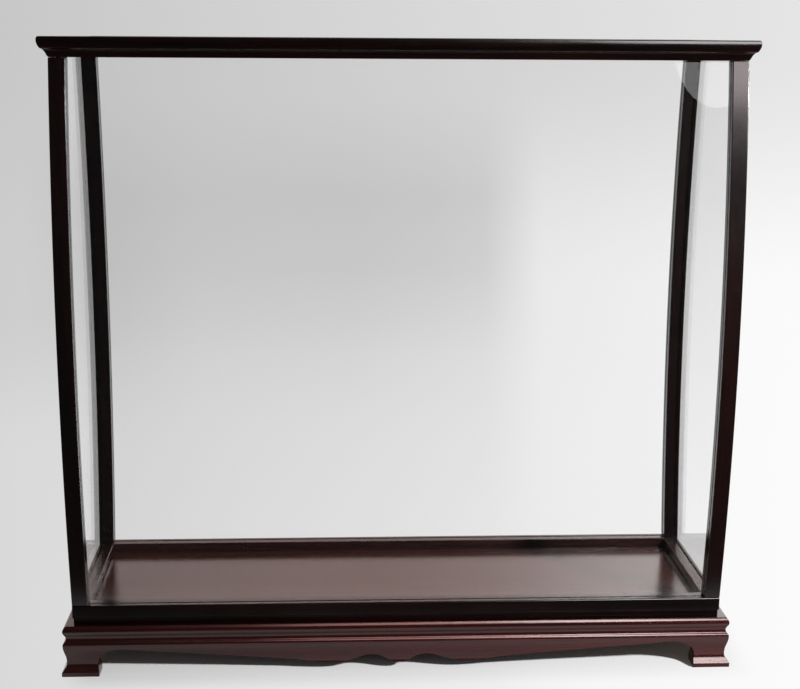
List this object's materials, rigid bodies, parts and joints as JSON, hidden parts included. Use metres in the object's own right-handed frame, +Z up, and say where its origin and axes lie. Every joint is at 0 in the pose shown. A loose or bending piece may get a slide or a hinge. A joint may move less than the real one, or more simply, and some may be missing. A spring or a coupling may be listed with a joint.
{
  "type": "pedestal display case",
  "caption": "Table-top display case: moulded wooden base on bracket feet, lift-off cover of bowed posts and clear panes, and a lift-off moulded crown with a clear top.",
  "frame": {"origin": "on the floor under the centre of the case", "axes": "+X along the case to the right as the picture sees it, +Y from the front to the rear, +Z up"},
  "size_m": [0.9438, 0.329, 0.8763],
  "materials": {
    "lacquer": "dark mahogany lacquer, semi-gloss, nearly black",
    "red_lacquer": "dark mahogany lacquer, semi-gloss, red-brown",
    "satin_deck": "satin red-brown lacquer",
    "bare_wood": "planed, unfinished",
    "acrylic": "clear, polished",
    "steel": "zinc plated"
  },
  "bodies": {
    "base": {"apron_front": "red_lacquer", "apron_rear": "red_lacquer", "apron_left": "red_lacquer", "apron_right": "red_lacquer", "plinth_front": "lacquer", "plinth_rear": "lacquer", "plinth_left": "lacquer", "plinth_right": "lacquer", "deck_cleat_front": "bare_wood", "deck_cleat_rear": "bare_wood", "deck_cleat_left": "bare_wood", "deck_cleat_right": "bare_wood", "deck_panel": "satin_deck", "foot_block_front_left": "bare_wood", "foot_block_front_right": "bare_wood", "foot_block_rear_left": "bare_wood", "foot_block_rear_right": "bare_wood", "deck_screw_front_left": "steel", "deck_screw_front_right": "steel", "deck_screw_rear_left": "steel", "deck_screw_rear_right": "steel", "cover_pin_front_left": "bare_wood", "cover_pin_front_right": "bare_wood", "cover_pin_rear_left": "bare_wood", "cover_pin_rear_right": "bare_wood"},
    "cover": {"rail_front": "lacquer", "rail_rear": "lacquer", "rail_left": "lacquer", "rail_right": "lacquer", "pane_front": "acrylic", "pane_rear": "acrylic", "pane_left": "acrylic", "pane_right": "acrylic", "post_front_left": "lacquer", "post_front_right": "lacquer", "post_rear_left": "lacquer", "post_rear_right": "lacquer", "post_screw_front_left": "steel", "post_screw_front_right": "steel", "post_screw_rear_left": "steel", "post_screw_rear_right": "steel", "lid_pin_front_left": "steel", "lid_pin_front_right": "steel", "lid_pin_rear_left": "steel", "lid_pin_rear_right": "steel"},
    "lid": {"crown_front": "lacquer", "crown_rear": "lacquer", "crown_left": "lacquer", "crown_right": "lacquer", "pane_top": "acrylic"}
  },
  "joints": [
    {"name": "cover_lift", "type": "slide", "parent": "base", "child": "cover", "axis": [0, 0, 1], "range_m": [0, 0.78]},
    {"name": "lid_lift", "type": "slide", "parent": "cover", "child": "lid", "axis": [0, 0, 1], "range_m": [0, 0.1]}
  ]
}
